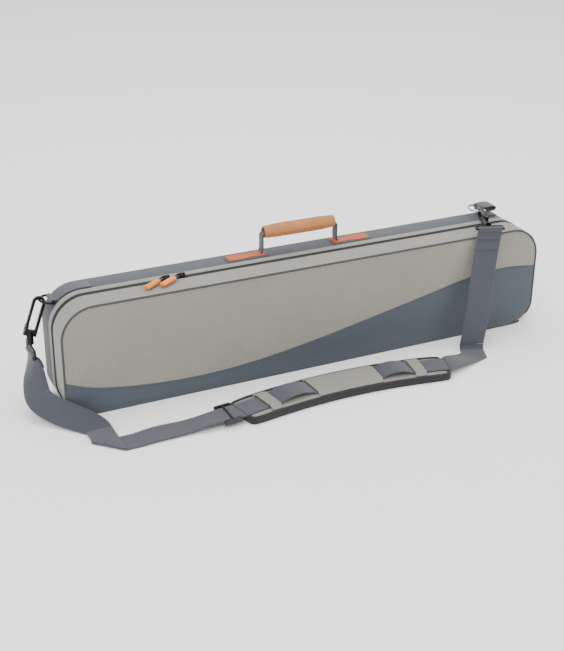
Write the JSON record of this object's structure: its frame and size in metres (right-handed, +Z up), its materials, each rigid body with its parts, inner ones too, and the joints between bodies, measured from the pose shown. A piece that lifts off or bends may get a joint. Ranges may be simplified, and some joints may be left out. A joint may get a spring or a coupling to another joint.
{
  "type": "rod case",
  "caption": "Long padded fabric case for fishing rods and reels, with a zipped front lid, a rolled carry handle and a clip-on padded shoulder strap.",
  "frame": {"origin": "centre of the case's bottom face, on the floor plane", "axes": "+X along the case's length, -Y towards the zipped front, +Z up"},
  "size_m": [0.8497, 0.2261, 0.2155],
  "materials": {
    "slate_fabric": "woven",
    "slate_lower": "woven",
    "pale_fabric": "woven",
    "ripstop": "ripstop weave",
    "foam": "matte foam",
    "lining": "brushed",
    "piping": "corded",
    "zip_tape": "woven",
    "zip_coil": "satin",
    "zip_metal": "satin black",
    "cord": "braided",
    "pull_orange": "matte",
    "orange_leather": "waxed",
    "grip_leather": "natural",
    "webbing": "ribbed",
    "dark_webbing": "ribbed",
    "black_metal": "satin black",
    "bright_metal": "brushed",
    "black_plastic": "satin"
  },
  "bodies": {
    "case": {"rear_panel": "slate_fabric", "rear_gusset": "slate_fabric", "light_strip": "pale_fabric", "base_foam": "foam", "base_lining": "lining", "rear_piping": "piping", "rear_zip_tape": "zip_tape", "rear_zip_teeth": "zip_coil", "hinge_tape": "slate_lower", "handle_patches": "slate_fabric", "handle_tabs": "orange_leather", "ring_tab_left": "webbing", "ring_tab_right": "dark_webbing", "d_ring_left": "black_metal", "d_ring_right": "bright_metal", "rod_rack_left": "foam", "rod_rack_right": "foam", "rod_shelf": "lining", "reel_dividers": "lining", "rod_retainers": "zip_tape", "hook_left": "black_metal"},
    "lid": {"front_panel": "ripstop", "lower_panel": "slate_lower", "lid_gusset": "pale_fabric", "lid_foam": "foam", "lid_lining": "lining", "front_piping": "piping", "front_zip_tape": "zip_tape", "front_zip_teeth": "zip_coil", "mesh_pocket": "zip_tape", "pocket_binding": "zip_tape"},
    "left_slider": {"slider_left": "zip_metal"},
    "right_slider": {"slider_right": "zip_metal"},
    "left_pull": {"pull_cord_left": "cord", "pull_grip_left": "pull_orange"},
    "right_pull": {"pull_cord_right": "cord", "pull_grip_right": "pull_orange"},
    "handle": {"handle_webbing": "webbing", "handle_core": "foam", "handle_grip": "grip_leather"},
    "left_gate": {"gate_left": "black_metal"},
    "strap": {"swivel_eye_left": "black_metal", "left_webbing": "webbing", "left_webbing_loop": "webbing", "left_webbing_floor": "webbing", "pad_cover": "ripstop", "pad_foam": "foam", "pad_backing": "dark_webbing", "pad_binding": "zip_tape", "pad_tabs": "webbing", "pad_patch": "ripstop", "pad_webbing": "webbing", "right_webbing": "webbing"},
    "adjuster": {"tri_glide": "black_plastic"},
    "strap_riser": {"riser_webbing": "webbing"},
    "strap_end": {"swivel_eye_right": "black_metal", "hook_right": "black_metal"},
    "right_gate": {"gate_right": "black_metal"}
  },
  "joints": [
    {"name": "lid_hinge", "type": "hinge", "parent": "case", "child": "lid", "pos_m": [0, -0.047, 0.004], "axis": [1, 0, 0], "range_deg": [0, 90], "deforming": ["hinge_tape"]},
    {"name": "handle_fold", "type": "hinge", "parent": "case", "child": "handle", "pos_m": [0.002, 0.0285, 0.1796], "axis": [1, 0, 0], "range_deg": [-70, 45]},
    {"name": "slider_left_slide", "type": "slide", "parent": "lid", "child": "left_slider", "axis": [1, 0, 0], "range_m": [-0.1, 0]},
    {"name": "slider_right_slide", "type": "slide", "parent": "lid", "child": "right_slider", "axis": [1, 0, 0], "range_m": [0, 0.45]},
    {"name": "pull_left_lift", "type": "hinge", "parent": "left_slider", "child": "left_pull", "pos_m": [-0.227, -0.004, 0.1739], "axis": [0, 1, 0], "range_deg": [0, 100]},
    {"name": "pull_right_lift", "type": "hinge", "parent": "right_slider", "child": "right_pull", "pos_m": [-0.203, -0.004, 0.1739], "axis": [0, 1, 0], "range_deg": [0, 100]},
    {"name": "gate_left_press", "type": "hinge", "parent": "case", "child": "left_gate", "pos_m": [-0.42786, 0.027, 0.12132], "axis": [0, 1, 0], "range_deg": [0, 20], "stiffness_Nm_per_rad": 0.05, "springref_deg": -20.05},
    {"name": "strap_swivel", "type": "hinge", "parent": "case", "child": "strap", "pos_m": [-0.42457, 0.027, 0.09342], "axis": [0, 0, 1], "range_deg": [-135, 0]},
    {"name": "adjuster_slide", "type": "slide", "parent": "strap", "child": "adjuster", "axis": [-0.9978, 0, -0.0669], "range_m": [0, 0.06]},
    {"name": "strap_fold", "type": "hinge", "parent": "strap", "child": "strap_riser", "pos_m": [0.25, -0.097, 0.0097], "axis": [0.9272, -0.3746, 0], "range_deg": [0, 100]},
    {"name": "strap_end_turn", "type": "hinge", "parent": "strap_riser", "child": "strap_end", "pos_m": [0.296, -0.058, 0.184], "axis": [0.9272, -0.3746, 0], "range_deg": [0, 90]},
    {"name": "gate_right_press", "type": "hinge", "parent": "strap_end", "child": "right_gate", "pos_m": [0.31136, -0.01999, 0.1915], "axis": [-0.9272, 0.3746, 0], "range_deg": [0, 20], "stiffness_Nm_per_rad": 0.05, "springref_deg": -20.05}
  ],
  "couplings": [
    {"joint": "strap_swivel", "follows": "lid_hinge", "ratio": -1.5},
    {"joint": "strap_fold", "follows": "lid_hinge", "ratio": 1.1},
    {"joint": "strap_end_turn", "follows": "lid_hinge", "ratio": 1}
  ]
}
